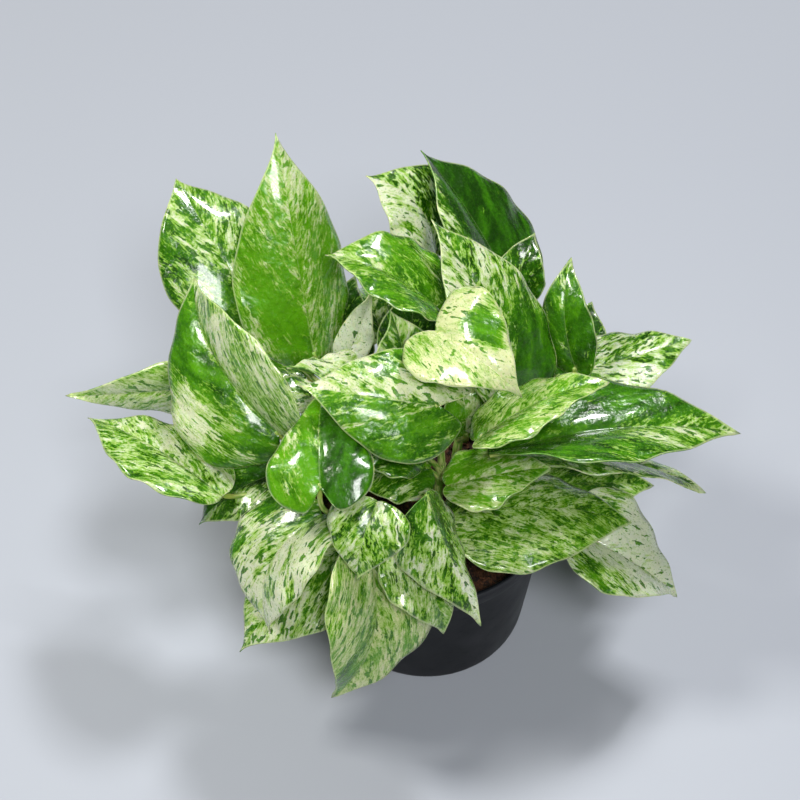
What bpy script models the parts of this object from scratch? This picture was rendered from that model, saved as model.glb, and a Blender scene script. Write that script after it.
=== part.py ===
"""A potted marble queen pothos: a nursery pot, its potting mix and twelve leafy stems.

Every stem stands in its own hole in the mix. Its leaf stalks bend out and over, and each ends in a
pointed, heart-based blade with a folded midrib and waved edges. Sizes are in millimetres, and MM
turns them to metres where the objects are made. The pot's axis is Z, and its base stands on Z = 0.
"""

from dataclasses import dataclass
from math import atan, cos, exp, pi, radians, sin

import bmesh
import bpy
from mathutils import Matrix, Vector
from mathutils.geometry import interpolate_bezier

MM = 0.001
UP = Vector((0, 0, 1))
MESH_GAP = 0.3

# Nursery pot
POT_HEIGHT = 98
RIM_RADIUS = 65
BASE_RADIUS = 55
WALL = 1.5
FLOOR = 2
RIM_BAND = 13
BAND_STEP = 2
EDGE_ROUND = 0.8
POT_SIDES = 36
DRAIN_HOLES = 8
DRAIN_RADIUS = 4
DRAIN_RING = 41

# Potting mix
SOIL_LEVEL = 88
SOIL_CROWN = 1.5

# Stems and leaf stalks
STEM_RADIUS = 2.6
STEM_TOP_RADIUS = 2.0
STALK_RADIUS = 1.6
STALK_END_RADIUS = 1.1
ROOT_DEPTH = 25
UPRIGHT_FOOT = 6
STALK_SINK = 2.5
STEM_POINTS = 6
STALK_POINTS = 7

# Leaf blades
BLADE_THICKNESS = 0.8
WAVE_HEIGHT = 1.5
WAVES = 1.6
CUP = 0.25
TIP_HOOK = 3
SWELL = 0.56
RIB_PACE = 1.7
LOBE_PACE = 0.006
# The drip tip: how much narrower the blade is at its very tip, and how far back that reaches
DRIP_DEPTH = 0.4
DRIP_REACH = 0.13
EDGE_SWEEP = 1.15
FOLD_EASE = 0.35
TWIST_CENTRE = 0.4
ROWS = (0, 0.02, 0.09, 0.2, 0.34, 0.5, 0.68, 0.85, 0.95, 1)
COLUMNS = 4


@dataclass(frozen=True)
class Leaf:
    """One leaf. Lengths are in millimetres and angles in degrees.

    roll tips the blade to its right, fold lifts its halves from the midrib, arch and sway bend the
    midrib up and to the right, and twist turns the tip. lobe is how far the base lobes reach back,
    as a share of the length, and a larger taper narrows the tip. The stalk leaves the stem at the
    share rise of its height. crook is where the stalk heads for before it meets the blade.
    """

    base: tuple
    tip: tuple
    width: float
    roll: float = 0
    fold: float = 14
    arch: float = 6
    sway: float = 0
    twist: float = 0
    lobe: float = 0.07
    taper: float = 0.98
    rise: float = 0.6
    bow: float = 0
    crook: tuple | None = None


@dataclass(frozen=True)
class Stem:
    """One leafy stem: where it leaves the mix, where its growing tip is, and its leaves."""

    name: str
    foot: tuple
    top: tuple
    leaves: tuple


STEMS = (
    Stem("stem_back_left", (-31, 24), (-48, 34, 128), (
        Leaf((-90, 76, 149), (-131, 133, 193), 67, roll=-5, fold=4, arch=4, sway=-1, twist=12,
             taper=0.9, rise=0.8),
        Leaf((-94, 42, 133), (-189, 41, 123), 37, roll=-75, arch=2, sway=2, taper=1.3, rise=0.5),
        Leaf((-64, 66, 113), (-95, 108, 89), 52, arch=10, rise=0.3),
    )),
    Stem("stem_left", (-41, 2), (-56, -4, 134), (
        Leaf((-73, -4, 153), (-119, 70, 185), 82, roll=-52, fold=36, arch=14, sway=-1,
             lobe=0.09, taper=1.25, rise=1),
        Leaf((-101, -25, 131), (-173, 25, 132), 52, roll=20, fold=15, arch=4, lobe=0.02,
             rise=0.4, crook=(8, 4, -18)),
        Leaf((-75, -6, 124), (-116, -26, 109), 36, rise=0.4),
        Leaf((-51, 7, 164), (-80, 9, 172), 22, fold=10, arch=3, rise=0.9),
    )),
    Stem("stem_inner_left", (-17, 17), (-32, 30, 130), (
        Leaf((-58, 48, 149), (-74, 113, 241), 64, roll=16, fold=-12, sway=-3, twist=-14,
             taper=1.1, rise=0.8),
        Leaf((-49, 68, 119), (-39, 92, 161), 42, rise=0.5),
        Leaf((-43, 32, 162), (-30, 34, 210), 19, roll=50, fold=20, arch=-6, taper=1.2, rise=0.9),
        Leaf((-35, 18, 180), (-66, 1, 203), 28, roll=15, fold=30, arch=-4, sway=-3, taper=1.2,
             rise=1),
    )),
    Stem("stem_back", (-8, 42), (-6, 58, 130), (
        Leaf((5, 108, 160), (-30, 120, 207), 62, roll=-6, fold=18, arch=8, sway=5, rise=1),
        Leaf((-24, 76, 132), (-40, 134, 106), 60, arch=10, rise=0.5),
        Leaf((12, 86, 134), (18, 142, 116), 56, arch=10, rise=0.7),
        Leaf((-9, 56, 138), (-7, 74, 174), 36, rise=0.95),
    )),
    Stem("stem_back_right", (20, 40), (32, 58, 132), (
        Leaf((46, 97, 143), (-2, 136, 210), 69, roll=10, fold=25, arch=7, sway=-4, twist=15,
             rise=0.9),
        Leaf((45, 78, 160), (53, 96, 189), 28, rise=1),
        Leaf((79, 73, 112), (86, 89, 144), 40),
        Leaf((52, 88, 110), (76, 124, 88), 50, arch=8, rise=0.3),
    )),
    Stem("stem_right_back", (45, 27), (57, 32, 126), (
        Leaf((65, 45, 138), (135, 61, 150), 50, roll=-5, fold=8, arch=2, sway=4, rise=0.7),
        Leaf((75, 41, 146), (70, 78, 190), 30, roll=-30, fold=12, arch=8, sway=-2, twist=12,
             rise=1),
        Leaf((72, 40, 110), (112, 62, 92), 42, rise=0.3),
    )),
    Stem("stem_right", (34, 15), (31, 13, 122), (
        Leaf((28, -17, 155), (153, 3, 148), 75, roll=-14, fold=33, arch=8, twist=36, lobe=0,
             taper=1.2, rise=1, crook=(2, 12, -10)),
        Leaf((43, 5, 128), (139, -12, 119), 46, roll=-34),
        Leaf((22, -18, 168), (83, 3, 188), 42, roll=-20, fold=18, arch=5, twist=5, rise=1,
             crook=(-2, 16, -12)),
    )),
    Stem("stem_right_front", (26, -32), (30, -34, 110), (
        Leaf((12, -30, 122), (101, -27, 113), 67, roll=-5, fold=0, arch=3, sway=-4, twist=-5,
             rise=0.9),
        Leaf((68, -21, 99), (130, -42, 65), 65, roll=2, fold=33, arch=10, sway=4, twist=-14,
             lobe=0, taper=1.4, rise=0.5, crook=(-10, 0, 4)),
        Leaf((38, -1, 103), (119, 10, 92), 46, arch=2, rise=0.7),
        Leaf((8, -23, 137), (58, -17, 146), 41, roll=-8, arch=3, sway=2, twist=-6, lobe=0.06,
             rise=1, crook=(12, 4, -14)),
    )),
    Stem("stem_front", (-2, -43), (-8, -50, 122), (
        Leaf((-2, -47, 164), (26, -84, 107), 42, roll=-14, fold=-24, arch=0, sway=2, twist=8,
             lobe=0, taper=1.4, rise=1),
        Leaf((-25, -50, 163), (-35, -77, 136), 41, fold=10, arch=5, sway=1, lobe=0.03,
             taper=1.35, rise=1),
        Leaf((-15, -52, 134), (8, -83, 98), 43, roll=-10, fold=10, taper=1.1, rise=0.7),
        Leaf((-30, -53, 128), (-47, -100, 62), 74, roll=-50, fold=30, arch=12, sway=-6,
             taper=1.15, rise=0.5),
    )),
    Stem("stem_front_left", (-31, -31), (-40, -38, 124), (
        Leaf((-52, -42, 140), (-79, -82, 98), 62, roll=20, fold=24, arch=12, sway=6, rise=0.8),
        Leaf((-42, -37, 106), (-95, -80, 76), 60, fold=12, taper=1.15, rise=0.3),
        Leaf((-51, -49, 172), (-51, 9, 174), 51, roll=-9, fold=9, arch=8, lobe=0.19, taper=1.65,
             rise=1, bow=-4),
    )),
    Stem("stem_centre", (4, -10), (6, -8, 134), (
        Leaf((4, -13, 187), (-61, -8, 197), 56, roll=-24, fold=2, arch=5, sway=-2, twist=8,
             lobe=0.24, taper=1.1, rise=1, crook=(4, 14, -14)),
        Leaf((2, 20, 202), (42, -11, 193), 62, roll=9, fold=30, arch=10, sway=3, twist=-5,
             lobe=0.1, taper=1.4, rise=1),
        Leaf((-3, -21, 160), (-37, -12, 165), 44, rise=0.8, crook=(2, 6, -12)),
        Leaf((0, -14, 139), (-38, -21, 136), 42),
    )),
    Stem("stem_inner_right", (14, 16), (18, 26, 136), (
        Leaf((3, 46, 190), (-49, 58, 216), 59, roll=9, fold=30, sway=-1, twist=-5, rise=1),
        Leaf((47, 24, 142), (2, 73, 223), 62, roll=5, fold=22, arch=8, twist=8, rise=0.7),
        Leaf((-15, 20, 170), (-18, 25, 209), 34, rise=0.9),
        Leaf((18, 10, 134), (13, 23, 165), 26, rise=0.5),
        Leaf((24, 21, 135), (37, 43, 143), 24, rise=0.95),
    )),
)


def clear_scene():
    """Removes whatever the scene opened with."""
    for obj in list(bpy.data.objects):
        bpy.data.objects.remove(obj)


def new_collection(name):
    """A collection linked to the scene."""
    collection = bpy.data.collections.new(name)
    bpy.context.scene.collection.children.link(collection)
    return collection


def new_object(name, data, collection):
    """An object that holds the data, linked to the collection."""
    obj = bpy.data.objects.new(name, data)
    collection.objects.link(obj)
    return obj


def plain_material(name, colour, roughness, metallic=0.0):
    """A Principled material."""
    material = bpy.data.materials.new(name)
    material.use_nodes = True
    shader = material.node_tree.nodes["Principled BSDF"]
    shader.inputs["Base Color"].default_value = (*colour, 1)
    shader.inputs["Roughness"].default_value = roughness
    shader.inputs["Metallic"].default_value = metallic
    return material


def evaluated_mesh(obj):
    """A new mesh of the object with its modifiers applied."""
    graph = bpy.context.evaluated_depsgraph_get()
    return bpy.data.meshes.new_from_object(obj.evaluated_get(graph))


def apply_modifiers(obj):
    """Puts the object's modified shape in its mesh."""
    mesh = evaluated_mesh(obj)
    obj.modifiers.clear()
    obj.data = mesh


def turned(name, profile, collection):
    """A solid turned from (radius, height) points that run up the inside and down the outside."""
    mesh = bpy.data.meshes.new(name)
    points = [(radius * MM, 0, height * MM) for radius, height in profile]
    mesh.from_pydata(points, [(i, i + 1) for i in range(len(points) - 1)], [])
    obj = new_object(name, mesh, collection)
    screw = obj.modifiers.new("Turn", "SCREW")
    screw.steps = POT_SIDES
    screw.render_steps = POT_SIDES
    screw.use_merge_vertices = True
    screw.merge_threshold = 0.0001
    apply_modifiers(obj)
    return obj


def cut(obj, cutters):
    """Cuts every object of the collection from the object."""
    boolean = obj.modifiers.new("Holes", "BOOLEAN")
    boolean.operation = "DIFFERENCE"
    boolean.operand_type = "COLLECTION"
    boolean.collection = cutters
    apply_modifiers(obj)


def peg(name, centre, radius, low, high, sides, collection):
    """A hidden upright cylinder that cuts a hole."""
    bm = bmesh.new()
    bmesh.ops.create_cone(
        bm,
        cap_ends=True,
        segments=sides,
        radius1=radius * MM,
        radius2=radius * MM,
        depth=(high - low) * MM,
        matrix=Matrix.Translation(Vector((*centre, (low + high) / 2)) * MM),
    )
    mesh = bpy.data.meshes.new(name)
    bm.to_mesh(mesh)
    bm.free()
    obj = new_object(name, mesh, collection)
    obj.hide_render = True
    obj.display_type = "WIRE"


def wall_radius(height):
    """Outer radius of the tapered wall below the rim band."""
    shoulder = POT_HEIGHT - RIM_BAND
    top = RIM_RADIUS - BAND_STEP - 1
    return BASE_RADIUS + (top - BASE_RADIUS) * height / shoulder


def build_pot(parts, cutters):
    """The thin-walled pot: a tapered wall, a stepped rim band and a drained floor."""
    shoulder = POT_HEIGHT - RIM_BAND
    rim_inside = RIM_RADIUS - WALL
    profile = [
        (0, FLOOR),
        (wall_radius(FLOOR) - WALL, FLOOR),
        (wall_radius(shoulder) - WALL, shoulder),
        (rim_inside - EDGE_ROUND, shoulder + BAND_STEP),
        (rim_inside, POT_HEIGHT - EDGE_ROUND),
        (rim_inside + EDGE_ROUND / 2, POT_HEIGHT),
        (RIM_RADIUS - EDGE_ROUND / 2, POT_HEIGHT),
        (RIM_RADIUS, POT_HEIGHT - EDGE_ROUND),
        (RIM_RADIUS - EDGE_ROUND, shoulder + EDGE_ROUND),
        (RIM_RADIUS - EDGE_ROUND * 2, shoulder),
        (wall_radius(shoulder), shoulder),
        (wall_radius(EDGE_ROUND), EDGE_ROUND),
        (BASE_RADIUS - EDGE_ROUND, 0),
        (0, 0),
    ]
    pot = turned("nursery_pot", profile, parts)
    for i in range(DRAIN_HOLES):
        turn = 2 * pi * (i + 0.5) / DRAIN_HOLES
        centre = (DRAIN_RING * cos(turn), DRAIN_RING * sin(turn))
        peg(f"drain_cutter_{i}", centre, DRAIN_RADIUS, -1, FLOOR + 1, 10, cutters)
    cut(pot, cutters)
    pot.data.materials.append(plain_material("black moulded plastic", (0.012, 0.013, 0.016), 0.42))
    return pot


def build_soil(parts, cutters):
    """The potting mix that fills the pot, low at its edge, with a plain hole for each stem."""
    shoulder = POT_HEIGHT - RIM_BAND
    bottom = FLOOR + MESH_GAP
    rim_inside = RIM_RADIUS - WALL - EDGE_ROUND
    profile = [
        (0, SOIL_LEVEL + SOIL_CROWN),
        (RIM_RADIUS / 2, SOIL_LEVEL + SOIL_CROWN / 2),
        (rim_inside - MESH_GAP, SOIL_LEVEL),
        (wall_radius(shoulder) - WALL - MESH_GAP, shoulder),
        (wall_radius(bottom) - WALL - MESH_GAP, bottom),
        (0, bottom),
    ]
    soil = turned("potting_mix", profile, parts)
    for stem in STEMS:
        low = SOIL_LEVEL - ROOT_DEPTH - MESH_GAP
        high = SOIL_LEVEL + 2 * SOIL_CROWN
        peg(f"{stem.name}_cutter", stem.foot, STEM_RADIUS + 2 * MESH_GAP, low, high, 8, cutters)
    cut(soil, cutters)
    soil.data.materials.append(plain_material("coir and peat mix", (0.055, 0.026, 0.012), 0.95))
    return soil


def tube(name, points, radii, collection):
    """A round closed tube through the points, with the radius given at each."""
    curve = bpy.data.curves.new(name, "CURVE")
    curve.dimensions = "3D"
    curve.twist_mode = "MINIMUM"
    curve.bevel_depth = MM
    curve.bevel_resolution = 1
    curve.use_fill_caps = True
    spline = curve.splines.new("POLY")
    spline.points.add(len(points) - 1)
    for knot, point, radius in zip(spline.points, points, radii):
        knot.co = (*(point * MM), 1)
        knot.radius = radius
    guide = new_object(name + "_guide", curve, collection)
    mesh = evaluated_mesh(guide)
    bm = bmesh.new()
    bm.from_mesh(mesh)
    bmesh.ops.remove_doubles(bm, verts=bm.verts, dist=0.01 * MM)
    bmesh.ops.recalc_face_normals(bm, faces=bm.faces)
    bm.to_mesh(mesh)
    bm.free()
    obj = new_object(name, mesh, collection)
    obj.matrix_world = guide.matrix_world
    bpy.data.objects.remove(guide)
    return obj


def between(start, end, count):
    """Evenly spaced values from start to end."""
    return [start + (end - start) * i / (count - 1) for i in range(count)]


def stem_points(stem):
    """The stem's line: straight up out of the mix, then leaning to its growing tip."""
    foot = Vector((*stem.foot, SOIL_LEVEL + UPRIGHT_FOOT))
    top = Vector(stem.top)
    height = stem.top[2] - SOIL_LEVEL
    bend = interpolate_bezier(
        foot, foot + UP * height * 0.35, top - UP * height * 0.2, top, STEM_POINTS
    )
    return [Vector((*stem.foot, SOIL_LEVEL - ROOT_DEPTH)), *bend]


def along_line(points, share):
    """The point at this share of the line's length."""
    steps = [(b - a).length for a, b in zip(points, points[1:])]
    left = share * sum(steps)
    for start, end, step in zip(points, points[1:], steps):
        if left <= step:
            return start.lerp(end, left / step)
        left -= step
    return points[-1]


def blade_frame(leaf):
    """The blade's base, its length, and its unit directions: to the tip, to its right, and up."""
    base = Vector(leaf.base)
    chord = Vector(leaf.tip) - base
    forward = chord.normalized()
    upright = (UP - forward * forward.dot(UP)).normalized()
    roll = radians(leaf.roll)
    face = upright * cos(roll) + forward.cross(upright) * sin(roll)
    return base, chord.length, forward, forward.cross(face), face


def blade_point(leaf, row, across):
    """A point of the blade: row runs from 0 at the stalk to 1 at the tip, across from -1 to 1."""
    base, length, forward, right, face = blade_frame(leaf)
    spread = abs(across)
    peak_row = SWELL / (SWELL + leaf.taper)
    peak = peak_row**SWELL * (1 - peak_row) ** leaf.taper
    drip = 1 - DRIP_DEPTH * exp(-(((1 - row) / DRIP_REACH) ** 2))
    half = leaf.width / 2 * row**SWELL * (1 - row) ** leaf.taper / peak * spread * drip
    rib = row**RIB_PACE
    edge = (1 + leaf.lobe) * row - leaf.lobe * (1 - exp(-row / LOBE_PACE))
    x = rib + (edge - rib) * spread**EDGE_SWEEP
    fold = radians(leaf.fold) * (1 - FOLD_EASE * min(max(x, 0), 1))
    phase = 2 * pi * WAVES * row + (0.9 if across > 0 else -0.9)
    out = half * cos(fold) * (1 if across > 0 else -1)
    lift = half * sin(fold) - CUP * half * spread + WAVE_HEIGHT * spread**2 * sin(phase)
    turn = radians(leaf.twist) * (x - TWIST_CENTRE)
    out, lift = out * cos(turn) + lift * sin(turn), lift * cos(turn) - out * sin(turn)
    bend = 4 * x * (1 - x)
    tilt = atan(leaf.arch * 4 * (1 - 2 * x) / length)
    hook = TIP_HOOK * min(max(x, 0), 1) ** 6
    return (
        base
        + forward * (x * length - lift * sin(tilt))
        + right * (leaf.sway * bend + out)
        + face * (leaf.arch * bend - hook + lift * cos(tilt))
    )


def build_blade(name, leaf, collection):
    """The blade: one waved sheet, split into triangles first so that both its faces match."""
    bm = bmesh.new()
    bmesh.ops.create_grid(bm, x_segments=COLUMNS, y_segments=len(ROWS) - 1, size=1)
    right_half = [face for face in bm.faces if face.calc_center_median().x > 0]
    left_half = [face for face in bm.faces if face.calc_center_median().x < 0]
    bmesh.ops.triangulate(bm, faces=right_half, quad_method="FIXED")
    bmesh.ops.triangulate(bm, faces=left_half, quad_method="ALTERNATE")
    for vertex in bm.verts:
        row = ROWS[round((vertex.co.y + 1) / 2 * (len(ROWS) - 1))]
        across = vertex.co.x if 0 < row < 1 else 0
        vertex.co = blade_point(leaf, row, across) * MM
    bmesh.ops.remove_doubles(bm, verts=bm.verts, dist=0.001 * MM)
    mesh = bpy.data.meshes.new(name)
    bm.to_mesh(mesh)
    bm.free()
    obj = new_object(name, mesh, collection)
    solidify = obj.modifiers.new("Thickness", "SOLIDIFY")
    solidify.thickness = BLADE_THICKNESS * MM
    solidify.offset = 0
    apply_modifiers(obj)


def stalk_points(stem, leaf):
    """The leaf stalk's line: up from the stem, over, and into the blade's base from below."""
    start = along_line(stem_points(stem)[1:], leaf.rise)
    base = Vector(leaf.base)
    heading = (blade_point(leaf, 0.05, 0) - blade_point(leaf, 0, 0)).normalized()
    reach = (base - start).length
    level = Vector((heading.x, heading.y, 0))
    away = -(heading * 0.6 + UP * 0.5)
    if heading.z < -0.2:
        away = -(level * 0.7 + UP * 0.55)
    elif away.length < 0.3:
        away = -UP
    outward = Vector((base.x - start.x, base.y - start.y, 0)).normalized()
    bow = UP.cross(outward) * leaf.bow
    leaving = start + UP * 0.38 * reach + outward * 0.12 * reach + bow
    arriving = base + away.normalized() * 0.38 * reach + bow
    if leaf.crook:
        arriving = base + Vector(leaf.crook)
    end = base + heading * STALK_SINK
    return interpolate_bezier(start, leaving, arriving, end, STALK_POINTS)


def build_stem(stem, parts, material):
    """One leafy stem, with its stalks and blades fused to it."""
    line = stem_points(stem)
    thickness = [STEM_RADIUS, *between(STEM_RADIUS, STEM_TOP_RADIUS, len(line) - 1)]
    obj = tube(stem.name, line, thickness, parts)
    grown = new_collection(stem.name + "_growth")
    for i, leaf in enumerate(stem.leaves):
        stalk = stalk_points(stem, leaf)
        tube(f"{stem.name}_stalk_{i}", stalk, between(STALK_RADIUS, STALK_END_RADIUS, len(stalk)), grown)
        build_blade(f"{stem.name}_blade_{i}", leaf, grown)
    boolean = obj.modifiers.new("Grown together", "BOOLEAN")
    boolean.operation = "UNION"
    boolean.solver = "MANIFOLD"
    boolean.operand_type = "COLLECTION"
    boolean.collection = grown
    apply_modifiers(obj)
    for piece in list(grown.objects):
        bpy.data.objects.remove(piece)
    bpy.data.collections.remove(grown)
    obj.data.materials.clear()
    obj.data.materials.append(material)


def main():
    clear_scene()
    parts = new_collection("potted_marble_queen_pothos")
    drain_cutters = new_collection("drain_cutters")
    stem_cutters = new_collection("stem_cutters")
    turned_pieces = (build_pot(parts, drain_cutters), build_soil(parts, stem_cutters))
    for piece in turned_pieces:
        piece.data.shade_smooth()
        piece.data.set_sharp_from_angle(angle=radians(30))
    for stem in STEMS:
        foliage = plain_material(f"{stem.name} foliage", (0.20, 0.36, 0.10), 0.35)
        build_stem(stem, parts, foliage)


main()
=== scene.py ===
"""Looks of a potted marble queen pothos: marbled leaves on bent stalks, in a filled nursery pot.

Lengths are in millimetres until a mesh is made, where MM turns them to metres. The pot's axis is Z
and its base stands on Z = 0. Each leafy stem is a cane, its leaf stalks and its blades, made as one
piece, and every blade carries attributes that its finish reads: where a point lies along the veins,
how creamy the leaf is there, and how far off the midrib and the margin are.
"""

import logging
from dataclasses import dataclass, field
from enum import Enum
from math import cos, exp, pi, radians, sin, tan

import bpy
import numpy as np
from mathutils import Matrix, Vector, noise
from mathutils.geometry import interpolate_bezier


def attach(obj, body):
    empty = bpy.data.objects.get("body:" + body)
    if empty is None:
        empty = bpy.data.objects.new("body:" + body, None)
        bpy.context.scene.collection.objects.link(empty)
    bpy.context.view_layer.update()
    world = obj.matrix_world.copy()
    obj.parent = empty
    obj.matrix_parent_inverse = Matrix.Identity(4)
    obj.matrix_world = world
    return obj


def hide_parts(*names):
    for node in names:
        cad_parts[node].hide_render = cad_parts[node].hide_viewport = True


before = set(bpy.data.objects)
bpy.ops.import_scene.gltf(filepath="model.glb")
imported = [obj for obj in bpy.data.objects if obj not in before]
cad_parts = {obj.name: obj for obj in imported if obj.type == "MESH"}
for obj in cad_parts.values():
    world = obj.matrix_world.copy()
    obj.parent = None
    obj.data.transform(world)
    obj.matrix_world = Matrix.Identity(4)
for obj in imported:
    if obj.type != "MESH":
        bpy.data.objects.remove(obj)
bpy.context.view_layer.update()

MM = 0.001
UP = Vector((0, 0, 1))
BODY = "root"
# How far a side vein runs towards the tip for each millimetre that it leaves the midrib
VEIN_LEAN = 1.75
VEIN_SLOPE = (1 + VEIN_LEAN**2) ** 0.5
# How much of the half width it takes for one half's marbling to turn to the other's
RIB_BLEND = 0.12
# How far from the stalk or the tip an end's own creaminess reaches, as a share of the blade
END_REACH = 0.4
# How far apart the two halves of a leaf lie in the noise, in layers
HALVES_APART = 31.0
SMOOTH = {"interpolation_type": "SMOOTHSTEP"}

Socket = bpy.types.NodeSocket
Value = float | str | tuple | Socket

log = logging.getLogger("pothos")


def linear(code: str) -> tuple[float, float, float, float]:
    """Turns an sRGB hex colour to linear light.

    Args:
        code: The colour as six hex digits.

    Returns:
        Linear red, green, blue and an alpha of 1.
    """
    parts = [int(code[i : i + 2], 16) / 255 for i in (0, 2, 4)]
    light = [x / 12.92 if x <= 0.04045 else ((x + 0.055) / 1.055) ** 2.4 for x in parts]
    return (*light, 1.0)


def deselect() -> None:
    """Leaves nothing selected."""
    bpy.ops.object.select_all(action="DESELECT")


def take(obj: bpy.types.Object) -> None:
    """Makes the object the only selected one, and the active one.

    Args:
        obj: The object.
    """
    deselect()
    obj.select_set(True)
    bpy.context.view_layer.objects.active = obj


def apply_modifiers(obj: bpy.types.Object) -> None:
    """Applies the object's modifiers in order.

    Args:
        obj: The object.
    """
    take(obj)
    for modifier in list(obj.modifiers):
        bpy.ops.object.modifier_apply(modifier=modifier.name)


def joined(name: str, pieces: list[bpy.types.Object]) -> bpy.types.Object:
    """Joins mesh objects into the first one.

    Args:
        name: The name of the joined object.
        pieces: The objects, all of them meshes.

    Returns:
        The joined object.
    """
    take(pieces[0])
    for piece in pieces:
        piece.select_set(True)
    bpy.ops.object.join()
    pieces[0].name = name
    pieces[0].data.name = name
    return pieces[0]


def settle(obj: bpy.types.Object) -> None:
    """Puts the object's place in its mesh, so that the object sits at the origin."""
    take(obj)
    bpy.ops.object.transform_apply(location=True, rotation=True, scale=True)


def weld(distance: float) -> None:
    """Merges points of the active mesh that lie together.

    Args:
        distance: How far apart they may be, in millimetres.
    """
    bpy.ops.object.mode_set(mode="EDIT")
    bpy.ops.mesh.select_all(action="SELECT")
    bpy.ops.mesh.remove_doubles(threshold=distance * MM)
    bpy.ops.object.mode_set(mode="OBJECT")


def hand_in(obj: bpy.types.Object, node: str) -> None:
    """Lets a finished piece ride on the body and stand for its CAD node.

    Args:
        obj: The piece.
        node: The CAD node that it replaces.
    """
    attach(obj, BODY)
    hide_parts(node)
    log.info("%s: %d faces, for %s", obj.name, len(obj.data.polygons), node)


def read_points(mesh: bpy.types.Mesh) -> np.ndarray:
    """Reads a mesh's points.

    Args:
        mesh: The mesh.

    Returns:
        One row a point, in metres.
    """
    points = np.empty(len(mesh.vertices) * 3)
    mesh.vertices.foreach_get("co", points)
    return points.reshape(-1, 3)


def set_attributes(mesh: bpy.types.Mesh, attributes: dict[str, np.ndarray]) -> None:
    """Writes point attributes, each of one number a point, or three.

    Args:
        mesh: The mesh.
        attributes: Each attribute's name and its array, with one row a point.
    """
    for name, values in attributes.items():
        kind, key = ("FLOAT_VECTOR", "vector") if values.ndim == 2 else ("FLOAT", "value")
        layer = mesh.attributes.new(name, kind, "POINT")
        layer.data.foreach_set(key, np.ascontiguousarray(values, np.float32).ravel())


class Shading:
    """The nodes of a material or a world, which feed its one shader."""

    def __init__(
        self, owner: bpy.types.Material | bpy.types.World, shader: str = "Principled BSDF"
    ) -> None:
        """Starts with the shader alone.

        Args:
            owner: The new material or world.
            shader: The name of its shader node.
        """
        owner.use_nodes = True
        self.owner = owner
        self.tree = owner.node_tree
        self.shader = self.tree.nodes[shader]

    def feed(self, socket: Socket, value: Value) -> None:
        """Links an output to a socket, or gives it a value of its own.

        Args:
            socket: The input.
            value: An output, a number, a vector or a colour's hex code.
        """
        if isinstance(value, Socket):
            self.tree.links.new(value, socket)
        else:
            socket.default_value = linear(value) if isinstance(value, str) else value

    def add(self, kind: str, settings: dict[str | int, Value], output: str | int = 0) -> Socket:
        """Adds a node with its settings and links.

        Args:
            kind: The node's type, without the ShaderNode prefix.
            settings: Its properties, and its inputs under their names or numbers. An input takes
                what feed takes.
            output: The name or number of the output that is wanted.

        Returns:
            The output.
        """
        node = self.tree.nodes.new("ShaderNode" + kind)
        for key, value in settings.items():
            if isinstance(key, str) and hasattr(node, key):
                setattr(node, key, value)
            else:
                self.feed(node.inputs[key], value)
        return node.outputs[output]

    def set_shader(self, **values: Value) -> None:
        """Feeds the shader's sockets, named with _ for a space."""
        for name, value in values.items():
            self.feed(self.shader.inputs[name.replace("_", " ")], value)

    def millimetres(self) -> Socket:
        """The place on the piece, in millimetres."""
        place = self.add("TexCoord", {}, "Object")
        return self.add("VectorMath", {"operation": "SCALE", 0: place, "Scale": 1 / MM})

    def split(self, name: str) -> tuple[Socket, ...]:
        """The three numbers of one of the piece's vector attributes."""
        vector = self.add("Attribute", {"attribute_name": name}, "Vector")
        return tuple(self.add("SeparateXYZ", {0: vector}).node.outputs)

    def grain(self, place: Socket, size: float | tuple, detail: float = 2, rough: float = 0.5) -> Socket:
        """Fractal noise with grains of a real size.

        Args:
            place: The place, in millimetres.
            size: The grain's size, in millimetres: one for all axes, or one for each.
            detail: How many finer layers there are.
            rough: How strong each finer layer is.

        Returns:
            The noise, from about 0.2 to 0.8.
        """
        sizes = size if isinstance(size, tuple) else (size,) * 3
        scale = tuple(1 / x for x in sizes)
        scaled = self.add("VectorMath", {"operation": "MULTIPLY", 0: place, 1: scale})
        settings = {"Vector": scaled, "Scale": 1.0, "Detail": detail, "Roughness": rough}
        return self.add("TexNoise", settings, "Fac")

    def swing(self, middle: Value, *noises: tuple[Socket, Value]) -> Socket:
        """Lets noises swing a value to both sides.

        Args:
            middle: The value where every noise is 0.5.
            noises: Each noise with its strength.

        Returns:
            The value.
        """
        for source, strength in noises:
            off = self.add("Math", {"operation": "SUBTRACT", 0: source, 1: 0.5})
            middle = self.add("Math", {"operation": "MULTIPLY_ADD", 0: off, 1: strength, 2: middle})
        return middle

    def tint(
        self, below: Value, above: Value, value: Socket, low: float, high: float, share: Value = 1.0
    ) -> Socket:
        """Lays a colour over another past a soft threshold.

        Args:
            below: The colour that is covered.
            above: The colour that covers it.
            value: What is read.
            low: Where the cover starts.
            high: Where it is whole. It is whole on small values if high is under low.
            share: How much a whole cover hides.

        Returns:
            The mixed colour.
        """
        edge = {**SMOOTH, "From Min": low, "From Max": high}
        shown = self.add("MapRange", {**edge, "Value": value, "To Max": share})
        return self.add("Mix", {"data_type": "RGBA", 0: shown, 6: below, 7: above}, 2)


def new_finish(name: str) -> Shading:
    """An empty material of that name, ready for its nodes."""
    return Shading(bpy.data.materials.new(name))


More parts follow.
